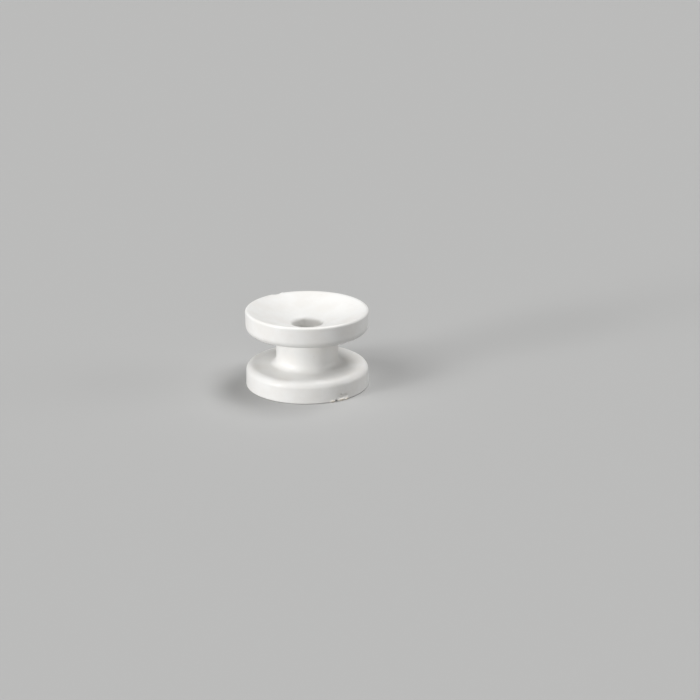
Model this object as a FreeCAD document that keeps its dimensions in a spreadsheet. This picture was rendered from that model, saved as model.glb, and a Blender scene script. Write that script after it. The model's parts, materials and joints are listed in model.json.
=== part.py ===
import FreeCAD
import Part
import Sketcher

import math
import os

# Fence corner insulator: a one-piece spool with a wire groove round its waist,
# a dished face at each end and a bore on its axis.
# Millimetres. +Z runs along the bore, and the origin is the middle of the spool.
# The two ends are alike, so the upper half is modelled and then mirrored.

# Driving dimensions, in millimetres and degrees
SIZES = {
    # the two flanges and the waist between them
    "flange_diameter": 57.0,
    "overall_height": 36.2,
    "flange_thickness": 10.3,
    "waist_diameter": 28.8,
    "wall_draft_angle": 1.0,
    # the wire groove's rounded lips and roots
    "groove_lip_radius": 3.3,
    "groove_root_radius": 3.0,
    # each end face: a broken outer edge, a narrow flat land and a conical dish
    "face_edge_chamfer": 0.5,
    "rim_land_width": 1.2,
    "dish_slope_angle": 18.5,
    # the bore for the tie and its rounded mouths
    "bore_diameter": 14.0,
    "mouth_radius": 2.0,
}

DRAFT = math.radians(SIZES["wall_draft_angle"])
SLOPE = math.radians(SIZES["dish_slope_angle"])

# Radii and heights of the profile's corners: the value, and its formula for the sheet
PLACES = {
    "rim_radius": (
        SIZES["flange_diameter"] / 2,
        "Sizes.flange_diameter / 2"),
    "middle_radius": (
        SIZES["flange_diameter"] / 2 - SIZES["overall_height"] / 2 * math.tan(DRAFT),
        "Sizes.flange_diameter / 2"
        " - Sizes.overall_height / 2 * tan(Sizes.wall_draft_angle * 1 deg)"),
    "waist_radius": (
        SIZES["waist_diameter"] / 2,
        "Sizes.waist_diameter / 2"),
    "land_radius": (
        SIZES["flange_diameter"] / 2 - SIZES["face_edge_chamfer"] - SIZES["rim_land_width"],
        "Sizes.flange_diameter / 2 - Sizes.face_edge_chamfer - Sizes.rim_land_width"),
    "bore_radius": (
        SIZES["bore_diameter"] / 2,
        "Sizes.bore_diameter / 2"),
    "face_height": (
        SIZES["overall_height"] / 2,
        "Sizes.overall_height / 2"),
    "flank_height": (
        SIZES["overall_height"] / 2 - SIZES["flange_thickness"],
        "Sizes.overall_height / 2 - Sizes.flange_thickness"),
}

document = FreeCAD.newDocument("FenceCornerInsulator")


def make_size_sheet():
    """Write every driving dimension into the sheet, one aliased cell each."""
    sheet = document.addObject("Spreadsheet::Sheet", "Sizes")
    for row, (alias, value) in enumerate(SIZES.items(), start=1):
        sheet.set(f"A{row}", alias.replace("_", " "))
        sheet.set(f"B{row}", str(value))
        sheet.setAlias(f"B{row}", alias)
    document.recompute()


def origin_feature(body, role):
    """Return one of the body's own origin planes or axes."""
    return next(feature for feature in body.Origin.OriginFeatures if feature.Role == role)


def new_profile(body, name):
    """Start a half-profile on the XZ plane: across is the radius, up is the height."""
    sketch = body.newObject("Sketcher::SketchObject", name)
    sketch.AttachmentSupport = (origin_feature(body, "XZ_Plane"), "")
    sketch.MapMode = "FlatFace"
    return sketch


def corner_point(radius, height):
    """The corner's place in the sketch; a side named None lies on that axis, at zero."""
    across = PLACES[radius][0] if radius else 0.0
    up = PLACES[height][0] if height else 0.0
    return FreeCAD.Vector(across, up, 0)


def hold_corner(sketch, side, radius, height):
    """Hold the start of a side at its radius and height, tied to the sheet.

    The sketch numbers its origin and level axis -1 and its upright axis -2,
    and the start of a line 1.
    """
    for kind, place, axis in (("DistanceX", radius, -2), ("DistanceY", height, -1)):
        if place is None:
            sketch.addConstraint(Sketcher.Constraint("PointOnObject", side, 1, axis))
            continue
        value, formula = PLACES[place]
        index = sketch.addConstraint(Sketcher.Constraint(kind, -1, 1, side, 1, value))
        sketch.setExpression(f"Constraints[{index}]", formula)


def draw_outline(sketch, corners):
    """Draw a closed outline with straight sides, each corner held by its named places."""
    points = [corner_point(*corner) for corner in corners]
    following = points[1:] + points[:1]
    for start, end in zip(points, following):
        sketch.addGeometry(Part.LineSegment(start, end))
    for side, corner in enumerate(corners):
        join(sketch, side, 2, (side + 1) % len(corners), 1)
        hold_corner(sketch, side, *corner)


def join(sketch, first, first_end, second, second_end):
    """Make two sides share a point."""
    sketch.addConstraint(
        Sketcher.Constraint("Coincident", first, first_end, second, second_end))


def revolve(body, kind, sketch, name):
    """Turn a half-profile once round the spool's axis, adding or cutting."""
    feature = body.newObject(kind, name)
    feature.Profile = sketch
    feature.ReferenceAxis = (origin_feature(body, "Z_Axis"), [""])
    feature.Angle = 360.0
    sketch.Visibility = False
    document.recompute()
    return feature


def make_half_drum(body):
    """The upper half before anything is cut: a drum, slimmest at the spool's middle."""
    sketch = new_profile(body, "DrumProfile")
    draw_outline(sketch, [
        (None, None),
        ("middle_radius", None),
        ("rim_radius", "face_height"),
        (None, "face_height"),
    ])
    return revolve(body, "PartDesign::Revolution", sketch, "HalfDrum")


def cut_wire_groove(body):
    """The groove round the waist that the fence wire bears in."""
    sketch = new_profile(body, "WireGrooveProfile")
    draw_outline(sketch, [
        ("waist_radius", None),
        ("rim_radius", None),
        ("rim_radius", "flank_height"),
        ("waist_radius", "flank_height"),
    ])
    return revolve(body, "PartDesign::Groove", sketch, "WireGroove")


def mouth_arc(bore_radius, land_radius, face_height):
    """The round between the bore's wall and the dish's slope, touching both.

    Its centre lies one mouth radius inside the porcelain from the wall and from the slope.
    """
    radius = SIZES["mouth_radius"]
    across = bore_radius + radius
    up = face_height - ((land_radius - across) * math.sin(SLOPE) + radius) / math.cos(SLOPE)
    circle = Part.Circle(FreeCAD.Vector(across, up, 0), FreeCAD.Vector(0, 0, 1), radius)
    return Part.ArcOfCircle(circle, math.pi / 2 + SLOPE, math.pi)


def cut_bore_and_dish(body):
    """The bore up from the middle, its rounded mouth and the dish out to the land."""
    sketch = new_profile(body, "BoreAndDishProfile")
    middle = corner_point(None, None)
    bore_foot = corner_point("bore_radius", None)
    land_edge = corner_point("land_radius", "face_height")
    face_middle = corner_point(None, "face_height")
    mouth = mouth_arc(bore_foot.x, land_edge.x, land_edge.y)

    middle_side, wall, round_side, face, axis_side, slope = range(6)
    sketch.addGeometry(Part.LineSegment(middle, bore_foot))
    sketch.addGeometry(Part.LineSegment(bore_foot, mouth.EndPoint))
    sketch.addGeometry(mouth)
    sketch.addGeometry(Part.LineSegment(land_edge, face_middle))
    sketch.addGeometry(Part.LineSegment(face_middle, middle))
    sketch.addGeometry(Part.LineSegment(mouth.StartPoint, land_edge))

    join(sketch, middle_side, 2, wall, 1)
    join(sketch, slope, 2, face, 1)
    join(sketch, face, 2, axis_side, 1)
    join(sketch, axis_side, 2, middle_side, 1)
    sketch.addConstraint(Sketcher.Constraint("Tangent", wall, 2, round_side, 2))
    sketch.addConstraint(Sketcher.Constraint("Tangent", round_side, 1, slope, 1))
    sketch.addConstraint(Sketcher.Constraint("Vertical", wall))
    hold_corner(sketch, middle_side, None, None)
    hold_corner(sketch, wall, "bore_radius", None)
    hold_corner(sketch, face, "land_radius", "face_height")
    hold_corner(sketch, axis_side, None, "face_height")
    index = sketch.addConstraint(Sketcher.Constraint("Radius", round_side, SIZES["mouth_radius"]))
    sketch.setExpression(f"Constraints[{index}]", "Sizes.mouth_radius")
    index = sketch.addConstraint(Sketcher.Constraint("Angle", slope, SLOPE))
    sketch.setExpression(f"Constraints[{index}]", "Sizes.dish_slope_angle * 1 deg")
    return revolve(body, "PartDesign::Groove", sketch, "BoreAndDish")


def circle_edges(feature, place, pick):
    """Name the circular edges at this height.

    Of the circles there, pick, which is min or max, says which radius is meant.
    """
    nearness = 0.001 * SIZES["overall_height"]
    height = PLACES[place][0]
    circles = {}
    for number, edge in enumerate(feature.Shape.Edges, start=1):
        curve = edge.Curve
        if isinstance(curve, Part.Circle) and abs(curve.Center.z - height) < nearness:
            circles[f"Edge{number}"] = curve.Radius
    wanted = pick(circles.values())
    return [name for name, radius in circles.items() if abs(radius - wanted) < nearness]


def dress_edges(body, kind, name, base, edges, size_property, alias):
    """Round or bevel a set of edges by a size from the sheet."""
    dressed = body.newObject(kind, name)
    dressed.Base = (base, edges)
    setattr(dressed, size_property, SIZES[alias])
    dressed.setExpression(size_property, f"Sizes.{alias}")
    document.recompute()
    return dressed


def dress_half(body, base):
    """The soft edges of a pressed and fired body."""
    roots = dress_edges(body, "PartDesign::Fillet", "GrooveRoot", base,
                        circle_edges(base, "flank_height", min), "Radius", "groove_root_radius")
    lips = dress_edges(body, "PartDesign::Fillet", "GrooveLip", roots,
                       circle_edges(roots, "flank_height", max), "Radius", "groove_lip_radius")
    return dress_edges(body, "PartDesign::Chamfer", "FaceEdge", lips,
                       circle_edges(lips, "face_height", max), "Size", "face_edge_chamfer")


def mirror_half(body):
    """The whole spool, from its upper half."""
    whole = body.newObject("PartDesign::Mirrored", "WholeSpool")
    whole.TransformMode = "Whole shape"
    whole.MirrorPlane = (origin_feature(body, "XY_Plane"), [""])
    body.Tip = whole
    document.recompute()
    return whole


def check_step(before, after, change):
    """Stop if a feature hasn't changed the volume the way it should."""
    grown = after.Shape.Volume - before.Shape.Volume
    if grown * change <= 0:
        raise RuntimeError(f"{after.Name} changes the volume by {grown:.3f} mm3")


def make_insulator():
    """The whole part, one pressed solid."""
    body = document.addObject("PartDesign::Body", "Insulator")
    body.Label = "insulator"
    body.Placement = FreeCAD.Placement()
    drum = make_half_drum(body)
    groove = cut_wire_groove(body)
    check_step(drum, groove, -1)
    bore = cut_bore_and_dish(body)
    check_step(groove, bore, -1)
    half = dress_half(body, bore)
    whole = mirror_half(body)
    check_step(half, whole, 1)
    return body


def check_document(parts):
    """Stop before writing if any object failed or any part has no sound solid."""
    for thing in document.Objects:
        if "Invalid" in thing.State or "Error" in thing.State:
            raise RuntimeError(f"{thing.Name} is {thing.State}")
    for part in parts:
        if part.Shape.isNull() or not part.Shape.isValid():
            raise RuntimeError(f"{part.Label} has no valid shape")
        if len(part.Shape.Solids) != 1:
            raise RuntimeError(f"{part.Label} is not one solid")


def write_steps(parts):
    """Write each part's shape under its own name."""
    os.makedirs("parts", exist_ok=True)
    for part in parts:
        part.Shape.exportStep(f"parts/{part.Label}.step")


make_size_sheet()
PARTS = [make_insulator()]
check_document(PARTS)
write_steps(PARTS)

for finished in PARTS:
    volume = finished.Shape.Volume / 1000
    print(f"{finished.Label}: {volume:.2f} cm3, {len(finished.Shape.Faces)} faces")
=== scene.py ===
import json
import math

import bpy
import numpy as np
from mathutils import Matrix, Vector, noise


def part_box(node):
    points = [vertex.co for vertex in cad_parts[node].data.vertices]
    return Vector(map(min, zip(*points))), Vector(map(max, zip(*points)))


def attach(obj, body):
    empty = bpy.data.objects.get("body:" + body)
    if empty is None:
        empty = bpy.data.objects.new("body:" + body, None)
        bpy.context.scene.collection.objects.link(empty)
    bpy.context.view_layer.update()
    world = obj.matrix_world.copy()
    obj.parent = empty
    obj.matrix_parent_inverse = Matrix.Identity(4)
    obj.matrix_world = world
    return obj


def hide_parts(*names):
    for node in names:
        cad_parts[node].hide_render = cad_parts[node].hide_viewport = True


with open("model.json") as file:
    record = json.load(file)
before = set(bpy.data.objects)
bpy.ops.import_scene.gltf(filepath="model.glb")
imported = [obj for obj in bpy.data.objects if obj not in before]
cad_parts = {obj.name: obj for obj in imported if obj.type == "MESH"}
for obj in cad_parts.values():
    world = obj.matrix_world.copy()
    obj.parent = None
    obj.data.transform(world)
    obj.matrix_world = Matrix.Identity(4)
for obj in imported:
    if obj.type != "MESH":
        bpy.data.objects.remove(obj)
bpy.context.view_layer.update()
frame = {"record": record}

# A white porcelain fence corner insulator on a plain pale floor.
# Metres. +Z runs along the bore, and azimuth 0 is the front, where the camera is,
# with azimuths growing towards +X.

MM = 0.001


def mount(name):
    """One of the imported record's mounts."""
    return next(entry for entry in frame["record"]["mounts"] if entry["name"] == name)


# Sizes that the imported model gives
LOW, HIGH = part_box("insulator")
RIM_RADIUS = (HIGH.x - LOW.x) / 2
FACE_HEIGHT = (HIGH.z - LOW.z) / 2
BORE_RADIUS = mount("tie_bore")["dims"]["r_mm"] * MM
WAIST_RADIUS = abs(mount("wire_groove")["pos_m"][1])

# The porcelain's own sizes
FLANGE_THICKNESS = 10.3 * MM
WALL_DRAFT = math.radians(1.0)
ROOT_RADIUS = 3.0 * MM
LIP_RADIUS = 3.3 * MM
UPPER_EDGE_RADIUS = 1.1 * MM
LOWER_EDGE_RADIUS = 0.6 * MM
LAND_RADIUS = 26.8 * MM
LAND_EDGE_RADIUS = 2.5 * MM
DISH_SLOPE = math.radians(18.5)
MOUTH_RADIUS = 2.0 * MM

# How finely the profile is divided: on its arcs, on its marked walls, and elsewhere
ARC_STEP = math.radians(7.5)
WALL_STEP = 0.2 * MM
SIDE_STEP = 1.4 * MM

# How finely the columns stand round the axis: all the way round, across the marks,
# and how far the finer ones go on beside them
COLUMN_STEP = math.radians(1.5)
FINE_COLUMN_STEP = math.radians(0.25)
FINE_MARGIN = math.radians(1.5)

# How a pressed and fired body strays from its true form: how deep, and over what length.
# It fades out over the last stretch before a face.
UNEVENNESS = (
    (0.07 * MM, 17.0 * MM),
    (0.02 * MM, 5.0 * MM),
)
FACE_FADE = 1.5 * MM

# Marks on the rims. Each stands proud of the edge or bites into it by its lift:
# which face's rim, its azimuth and reach in degrees, its distance from that face,
# its spread along the profile, and its lift.
MARKS = {
    "ragged_lip": ("lower", 24.7, 3.0, 0.3 * MM, 0.9 * MM, 0.36 * MM),
    "notch": ("lower", 28.8, 1.6, 0.0 * MM, 1.2 * MM, -0.55 * MM),
    "bead": ("lower", 34.3, 5.0, 0.4 * MM, 0.75 * MM, 0.36 * MM),
    "recess": ("lower", 35.5, 6.5, 2.0 * MM, 1.0 * MM, -0.42 * MM),
    "pit": ("lower", 33.5, 1.3, 3.1 * MM, 0.6 * MM, -0.22 * MM),
    "burr": ("lower", 40.2, 2.4, 0.3 * MM, 0.8 * MM, 0.36 * MM),
    "rim_chip": ("upper", -147.0, 5.7, 0.0 * MM, 1.8 * MM, -0.65 * MM),
    "rim_knob": ("upper", -153.9, 1.2, 0.3 * MM, 1.0 * MM, 0.24 * MM),
}
# The length over which a mark's outline wanders. Its roughness inside is half as long.
MARK_GRAIN = 0.9 * MM
# How fast a mark rises to its full lift from its outline
MARK_STEEPNESS = 1.5
# How ragged a mark's outline is, and how rough it is inside
RAISED_RAGGEDNESS = (0.9, 0.7)
HOLLOW_RAGGEDNESS = (0.2, 0.08)
# A mark that stands higher than this has broken through the glaze
GLAZE_COVER = 0.3 * MM
# The mesh's measure of how bare of glaze each point is
BARE_ATTRIBUTE = "bare"


def half_corners(face_edge_radius):
    """The upper half's corners from the waist to the bore, each a place and a rounding."""
    flank = FACE_HEIGHT - FLANGE_THICKNESS
    lip = RIM_RADIUS - FLANGE_THICKNESS * math.tan(WALL_DRAFT)
    throat = FACE_HEIGHT - (LAND_RADIUS - BORE_RADIUS) * math.tan(DISH_SLOPE)
    return [
        ((WAIST_RADIUS, flank), ROOT_RADIUS),
        ((lip, flank), LIP_RADIUS),
        ((RIM_RADIUS, FACE_HEIGHT), face_edge_radius),
        ((LAND_RADIUS, FACE_HEIGHT), LAND_EDGE_RADIUS),
        ((BORE_RADIUS, throat), MOUTH_RADIUS),
    ]


def all_corners():
    """The closed profile's corners, the lower half a mirror of the upper but for its crisper edge."""
    lower = [
        ((radius, -height), rounding)
        for (radius, height), rounding in reversed(half_corners(LOWER_EDGE_RADIUS))
    ]
    return half_corners(UPPER_EDGE_RADIUS) + lower


def arc_at(before, corner, after, rounding):
    """The points of the arc that touches both sides of a corner."""
    back = (before - corner) / np.linalg.norm(before - corner)
    onward = (after - corner) / np.linalg.norm(after - corner)
    half_angle = math.acos(back @ onward) / 2
    reach = rounding / math.tan(half_angle)
    middle = (back + onward) / np.linalg.norm(back + onward)
    centre = corner + middle * rounding / math.sin(half_angle)
    start = corner + back * reach - centre
    chord = onward - back
    turn = math.pi - 2 * half_angle
    if start[0] * chord[1] - start[1] * chord[0] < 0:
        turn = -turn
    angles = np.linspace(0.0, turn, math.ceil(abs(turn) / ARC_STEP) + 1)
    radii = start[0] * np.cos(angles) - start[1] * np.sin(angles)
    heights = start[0] * np.sin(angles) + start[1] * np.cos(angles)
    return centre + np.stack([radii, heights], axis=1)


def side_step(start, end):
    """The step along the side between two corners, finer on the walls and lands, where the marks are."""
    return WALL_STEP if min(start[0], end[0]) >= LAND_RADIUS else SIDE_STEP


def rounded_profile():
    """The closed profile as radius and height, rounded at its corners and evenly divided between."""
    corners = all_corners()
    places = [np.array(place) for place, _ in corners]
    count = len(corners)
    arcs = [
        arc_at(places[i - 1], places[i], places[(i + 1) % count], corners[i][1])
        for i in range(count)
    ]
    rows = []
    for i, arc in enumerate(arcs):
        following = (i + 1) % count
        side = arcs[following][0] - arc[-1]
        steps = math.ceil(np.linalg.norm(side) / side_step(places[i], places[following]))
        shares = np.arange(1, steps) / steps
        rows.append(arc)
        rows.append(arc[-1] + shares[:, None] * side)
    return np.concatenate(rows)


def outward_normals(profile):
    """The profile's unit normals, pointing out of the porcelain."""
    along = np.roll(profile, -1, axis=0) - np.roll(profile, 1, axis=0)
    normals = np.stack([along[:, 1], -along[:, 0]], axis=1)
    return normals / np.linalg.norm(normals, axis=1)[:, None]


def marked_band(marked_rim):
    """The azimuths between which one rim's marks lie, with the margin beside them."""
    spans = [(azimuth, reach) for rim, azimuth, reach, *_ in MARKS.values() if rim == marked_rim]
    start = min(azimuth - reach for azimuth, reach in spans)
    end = max(azimuth + reach for azimuth, reach in spans)
    return math.radians(start) - FINE_MARGIN, math.radians(end) + FINE_MARGIN


def column_azimuths():
    """Even columns all the way round, and finer ones across each rim's marks."""
    even = np.arange(-math.pi, math.pi - COLUMN_STEP / 2, COLUMN_STEP)
    fine = []
    for rim in ("lower", "upper"):
        start, end = marked_band(rim)
        even = even[(even < start) | (even > end)]
        fine.append(np.arange(start, end, FINE_COLUMN_STEP))
    return np.sort(np.concatenate([even, *fine]))


def turned(azimuths, radii, heights):
    """Points at each azimuth, from radii and heights that are alike or different at each."""
    sines = np.sin(azimuths)[:, None]
    cosines = np.cos(azimuths)[:, None]
    return np.stack(np.broadcast_arrays(sines * radii, -cosines * radii, heights), axis=-1)


def noise_field(points, length):
    """Smooth noise from -1 to 1 at each point, that varies over this length."""
    flat = points.reshape(-1, 3) / length
    return np.array([noise.noise(Vector(point)) for point in flat]).reshape(points.shape[:-1])


def uneven_lifts(points):
    """How the unevenness lifts each point: always inwards, and not at all at the faces."""
    fade = np.clip((FACE_HEIGHT - np.abs(points[..., 2])) / FACE_FADE, 0.0, 1.0)
    sunk = sum(depth * (1.0 - noise_field(points, length)) / 2 for depth, length in UNEVENNESS)
    return -sunk * fade


def mark_lifts(azimuths, profile, points):
    """How far the marks lift each point, and how bare of glaze they leave it, from 0 to 1."""
    lift = np.zeros(points.shape[:-1])
    bare = np.zeros(points.shape[:-1])
    coarse = noise_field(points, MARK_GRAIN)
    fine = noise_field(points, MARK_GRAIN / 2)
    for rim, azimuth, reach, inset, spread, full_lift in MARKS.values():
        height = FACE_HEIGHT - inset
        centre = np.array([RIM_RADIUS, height if rim == "upper" else -height])
        along = np.linalg.norm(profile - centre, axis=1) / spread
        around = (azimuths - math.radians(azimuth)) / math.radians(reach)
        inside = 1.0 - around[:, None] ** 2 - along[None, :] ** 2
        outline, roughness = RAISED_RAGGEDNESS if full_lift > 0 else HOLLOW_RAGGEDNESS
        nearness = np.clip(inside * (1.0 + outline * coarse) * MARK_STEEPNESS, 0.0, 1.0)
        lift += full_lift * (1.0 + roughness * fine) * nearness
        if full_lift > GLAZE_COVER:
            bare = np.maximum(bare, nearness)
    return lift, bare


def add_object(name, data):
    """A new object in the scene, for this mesh, lamp or camera."""
    thing = bpy.data.objects.new(name, data)
    bpy.context.scene.collection.objects.link(thing)
    return thing


def lathe(name, points, bare):
    """A closed mesh of columns of points round the upright axis."""
    columns, rows = points.shape[:2]
    column, row = np.meshgrid(np.arange(columns), np.arange(rows), indexing="ij")
    next_column = (column + 1) % columns
    next_row = (row + 1) % rows
    faces = np.stack([
        column * rows + row,
        next_column * rows + row,
        next_column * rows + next_row,
        column * rows + next_row,
    ], axis=-1).reshape(-1, 4)
    mesh = bpy.data.meshes.new(name)
    mesh.from_pydata(points.reshape(-1, 3).tolist(), [], faces.tolist())
    attribute = mesh.attributes.new(BARE_ATTRIBUTE, "FLOAT", "POINT")
    attribute.data.foreach_set("value", bare.reshape(-1))
    mesh.shade_smooth()
    return add_object(name, mesh)


def make_spool():
    """The porcelain spool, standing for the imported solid."""
    profile = rounded_profile()
    normals = outward_normals(profile)
    azimuths = column_azimuths()
    true_points = turned(azimuths, profile[:, 0], profile[:, 1])
    lift, bare = mark_lifts(azimuths, profile, true_points)
    lift += uneven_lifts(true_points)
    radii = profile[:, 0] + lift * normals[:, 0]
    heights = np.clip(profile[:, 1] + lift * normals[:, 1], -FACE_HEIGHT, FACE_HEIGHT)
    spool = lathe("porcelain_spool", turned(azimuths, radii, heights), bare)
    spool.data.materials.append(porcelain())
    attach(spool, "root")
    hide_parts("insulator")


# Looks: the glaze, its clouds, dark specks and pinholes, and the body under it
GLAZE_COLOUR = (0.93, 0.925, 0.905, 1.0)
CLOUD_COLOUR = (0.895, 0.88, 0.85, 1.0)
SPECK_COLOUR = (0.50, 0.42, 0.33, 1.0)
BARE_COLOUR = (0.80, 0.745, 0.64, 1.0)
CLOUD_LENGTH = 11.0 * MM
CLOUD_DETAIL = 3.0
SPECK_SPACING = 3.1 * MM
SPECK_RADIUS = 0.11 * MM
PINHOLE_SPACING = 3.6 * MM
PINHOLE_RADIUS = 0.16 * MM
PINHOLE_DEPTH = 0.05 * MM
# The share of a dot's radius within which it has its full strength
DOT_CORE = 0.5

# The glaze's slow ripple, and the fine grain of the glaze and of the bare body
PEEL_LENGTH = 2.2 * MM
PEEL_DETAIL = 1.0
PEEL_DEPTH = 0.09 * MM
GRAIN_LENGTH = 0.28 * MM
GRAIN_DETAIL = 4.0
GRAIN_DEPTH = 0.003 * MM
BARE_GRAIN_DEPTH = 0.05 * MM

# The levels of the cloud noise between which the glaze's colour and roughness change
CLOUDED_COLOUR_LEVELS = (0.40, 0.62)
CLOUDED_ROUGHNESS_LEVELS = (0.35, 0.65)
GLAZE_ROUGHNESS = (0.33, 0.43)
BARE_ROUGHNESS = 0.85

# The sockets of the mix node that hold its colours
MIX_COLOUR_INPUTS = (6, 7)
MIX_COLOUR_OUTPUT = 2


class Shading:
    """The nodes of a material or world, and short ways to add to them."""

    def __init__(self, holder):
        holder.use_nodes = True
        self.nodes = holder.node_tree.nodes
        self.links = holder.node_tree.links

    def add(self, kind, **settings):
        """A node with these settings."""
        node = self.nodes.new(kind)
        for name, value in settings.items():
            setattr(node, name, value)
        return node

    def join(self, source, target):
        """A link from one socket to another."""
        self.links.new(source, target)

    def ramp(self, value, source, target=(0.0, 1.0)):
        """A value carried from one range to another, and held at its ends."""
        node = self.add("ShaderNodeMapRange", clamp=True)
        self.join(value, node.inputs["Value"])
        for socket, number in zip(("From Min", "From Max", "To Min", "To Max"), (*source, *target)):
            node.inputs[socket].default_value = number
        return node.outputs["Result"]

    def noise_texture(self, place, length, detail):
        """Noise from 0 to 1 that varies over this length."""
        node = self.add("ShaderNodeTexNoise")
        node.inputs["Scale"].default_value = 1.0 / length
        node.inputs["Detail"].default_value = detail
        self.join(place, node.inputs["Vector"])
        return node.outputs["Fac"]

    def dots(self, place, spacing, radius):
        """1 inside sparse round dots of this radius, and 0 outside them."""
        cells = self.add("ShaderNodeTexVoronoi", feature="F1")
        cells.inputs["Scale"].default_value = 1.0 / spacing
        self.join(place, cells.inputs["Vector"])
        return self.ramp(cells.outputs["Distance"], (radius / spacing, DOT_CORE * radius / spacing))

    def blend(self, share, first, second):
        """A mix of two colours, each a socket or a fixed colour."""
        node = self.add("ShaderNodeMix", data_type="RGBA")
        self.join(share, node.inputs["Factor"])
        for index, colour in zip(MIX_COLOUR_INPUTS, (first, second)):
            if isinstance(colour, tuple):
                node.inputs[index].default_value = colour
            else:
                self.join(colour, node.inputs[index])
        return node.outputs[MIX_COLOUR_OUTPUT]

    def bump(self, height, depth, under=None):
        """A bump of this depth, over another one."""
        node = self.add("ShaderNodeBump")
        node.inputs["Distance"].default_value = depth
        self.join(height, node.inputs["Height"])
        if under:
            self.join(under, node.inputs["Normal"])
        return node.outputs["Normal"]

    def calculate(self, operation, first, second):
        """A sum, product or the like of two values, each a socket or a number."""
        node = self.add("ShaderNodeMath", operation=operation)
        for socket, value in zip(node.inputs, (first, second)):
            if isinstance(value, float):
                socket.default_value = value
            else:
                self.join(value, socket)
        return node.outputs[0]

    def seen_directly(self):
        """1 for rays from the camera, a reflection or a see-through thing, and 0 for bounced light."""
        path = self.add("ShaderNodeLightPath")
        seen = self.calculate("MAXIMUM", path.outputs["Is Camera Ray"], path.outputs["Is Glossy Ray"])
        return self.calculate("MAXIMUM", seen, path.outputs["Is Transmission Ray"])

    def finish_by_sight(self, seen, unseen, output_kind):
        """End in one shader where it is seen directly, and in another for its bounced light."""
        mix = self.add("ShaderNodeMixShader")
        self.join(self.seen_directly(), mix.inputs["Fac"])
        self.join(unseen.outputs[0], mix.inputs[1])
        self.join(seen.outputs[0], mix.inputs[2])
        output = self.add(output_kind)
        self.join(mix.outputs["Shader"], output.inputs["Surface"])


def porcelain():
    """White glazed porcelain, bare and creamy where a mark has broken the glaze."""
    material = bpy.data.materials.new("glazed_porcelain")
    shading = Shading(material)
    shader = shading.nodes["Principled BSDF"]
    place = shading.add("ShaderNodeTexCoord").outputs["Object"]
    bare = shading.add("ShaderNodeAttribute", attribute_name=BARE_ATTRIBUTE).outputs["Fac"]

    clouds = shading.noise_texture(place, CLOUD_LENGTH, CLOUD_DETAIL)
    specks = shading.dots(place, SPECK_SPACING, SPECK_RADIUS)
    pinholes = shading.dots(place, PINHOLE_SPACING, PINHOLE_RADIUS)
    peel = shading.noise_texture(place, PEEL_LENGTH, PEEL_DETAIL)
    grain = shading.noise_texture(place, GRAIN_LENGTH, GRAIN_DETAIL)

    clouded = shading.ramp(clouds, CLOUDED_COLOUR_LEVELS)
    colour = shading.blend(clouded, GLAZE_COLOUR, CLOUD_COLOUR)
    colour = shading.blend(specks, colour, SPECK_COLOUR)
    colour = shading.blend(bare, colour, BARE_COLOUR)
    shading.join(colour, shader.inputs["Base Color"])

    glaze_roughness = shading.ramp(clouds, CLOUDED_ROUGHNESS_LEVELS, GLAZE_ROUGHNESS)
    bare_roughness = shading.calculate("MULTIPLY", bare, BARE_ROUGHNESS)
    roughness = shading.calculate("MAXIMUM", glaze_roughness, bare_roughness)
    shading.join(roughness, shader.inputs["Roughness"])

    whole = shading.calculate("SUBTRACT", 1.0, pinholes)
    bare_grain = shading.calculate("MULTIPLY", bare, grain)
    normal = shading.bump(peel, PEEL_DEPTH)
    normal = shading.bump(grain, GRAIN_DEPTH, normal)
    normal = shading.bump(whole, PINHOLE_DEPTH, normal)
    normal = shading.bump(bare_grain, BARE_GRAIN_DEPTH, normal)
    shading.join(normal, shader.inputs["Normal"])
    return material


# Setting: the floor's colour as seen, and in the light that it bounces onto the spool
FLOOR_COLOUR = (0.52, 0.52, 0.515, 1.0)
FLOOR_BOUNCE_COLOUR = (0.30, 0.30, 0.30, 1.0)
FLOOR_REACH = 12.0
LAMPS = {
    "key": {"azimuth": -56.0, "elevation": 8.0, "spread": 14.0, "strength": 1.79},
    "upper_left": {"azimuth": -60.0, "elevation": 45.0, "spread": 40.0, "strength": 1.09},
    "front": {"azimuth": 0.0, "elevation": 15.0, "spread": 28.0, "strength": 0.38},
    "low_right": {"azimuth": 90.0, "elevation": 15.0, "spread": 28.0, "strength": 0.49},
    "high_right": {"azimuth": 90.0, "elevation": 70.0, "spread": 28.0, "strength": 1.20},
    "high_back": {"azimuth": 140.0, "elevation": 62.0, "spread": 20.0, "strength": 0.72},
}


def make_lamp(name, azimuth, elevation, spread, strength):
    """A far, soft lamp that shines from an azimuth and elevation in degrees."""
    light = bpy.data.lights.new(name, "SUN")
    light.energy = strength
    light.angle = math.radians(spread)
    lamp = add_object(name, light)
    around = math.radians(azimuth)
    up = math.radians(elevation)
    towards = Vector((math.sin(around) * math.cos(up), -math.cos(around) * math.cos(up), math.sin(up)))
    lamp.rotation_mode = "QUATERNION"
    lamp.rotation_quaternion = towards.to_track_quat("Z", "Y")


def pale_floor():
    """The floor's material, which bounces less light than it shows, so that undersides stay in shade."""
    material = bpy.data.materials.new("pale_floor")
    shading = Shading(material)
    shading.nodes.clear()
    seen = shading.add("ShaderNodeBsdfDiffuse")
    seen.inputs["Color"].default_value = FLOOR_COLOUR
    unseen = shading.add("ShaderNodeBsdfDiffuse")
    unseen.inputs["Color"].default_value = FLOOR_BOUNCE_COLOUR
    shading.finish_by_sight(seen, unseen, "ShaderNodeOutputMaterial")
    return material


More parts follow.
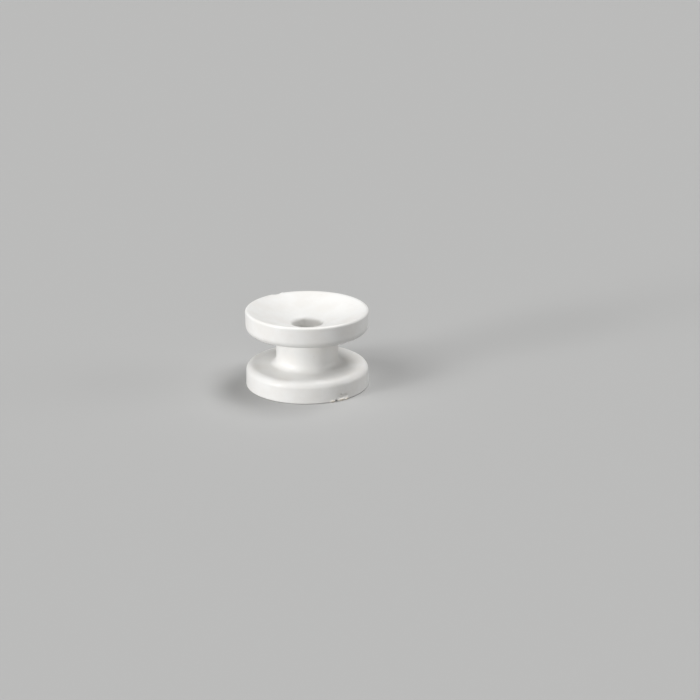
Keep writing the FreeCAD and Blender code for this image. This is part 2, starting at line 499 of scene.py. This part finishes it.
def make_floor():
    """A wide plain floor under the spool."""
    corners = [
        (-FLOOR_REACH, -FLOOR_REACH, LOW.z),
        (FLOOR_REACH, -FLOOR_REACH, LOW.z),
        (FLOOR_REACH, FLOOR_REACH, LOW.z),
        (-FLOOR_REACH, FLOOR_REACH, LOW.z),
    ]
    mesh = bpy.data.meshes.new("floor")
    mesh.from_pydata(corners, [], [(0, 1, 2, 3)])
    mesh.materials.append(pale_floor())
    add_object("floor", mesh)


def lit_floor():
    """The colour that the lamps give the open floor, so that the backdrop can match it."""
    level = sum(lamp["strength"] * math.sin(math.radians(lamp["elevation"])) for lamp in LAMPS.values())
    return tuple(channel * level / math.pi for channel in FLOOR_COLOUR[:3]) + (1.0,)


def make_world():
    """A backdrop that the camera and reflections see, and that gives no light of its own."""
    world = bpy.data.worlds.new("studio")
    bpy.context.scene.world = world
    shading = Shading(world)
    shading.nodes.clear()
    seen = shading.add("ShaderNodeBackground")
    seen.inputs["Color"].default_value = lit_floor()
    unseen = shading.add("ShaderNodeBackground")
    unseen.inputs["Strength"].default_value = 0.0
    shading.finish_by_sight(seen, unseen, "ShaderNodeOutputWorld")


# The camera: how far it looks down, and the spool's middle to its right, below its axis and ahead of it
CAMERA_PITCH = math.radians(19.24)
SPOOL_FROM_CAMERA = (-19.81 * MM, -1.89 * MM, 802.0 * MM)
CAMERA_LENS = 89.1
SENSOR_WIDTH = 36.0


def make_camera():
    """The camera, at the photograph's distance and viewing angle."""
    data = bpy.data.cameras.new("camera")
    data.sensor_width = SENSOR_WIDTH
    data.lens = CAMERA_LENS
    camera = add_object("camera", data)
    right, below, ahead = SPOOL_FROM_CAMERA
    sine = math.sin(CAMERA_PITCH)
    cosine = math.cos(CAMERA_PITCH)
    camera.location = (-right, below * sine - ahead * cosine, below * cosine + ahead * sine)
    camera.rotation_euler = (math.pi / 2 - CAMERA_PITCH, 0.0, 0.0)
    bpy.context.scene.camera = camera


make_spool()
make_floor()
make_world()
for lamp_name, settings in LAMPS.items():
    make_lamp(lamp_name, **settings)
make_camera()
bpy.context.scene.view_settings.view_transform = "Standard"
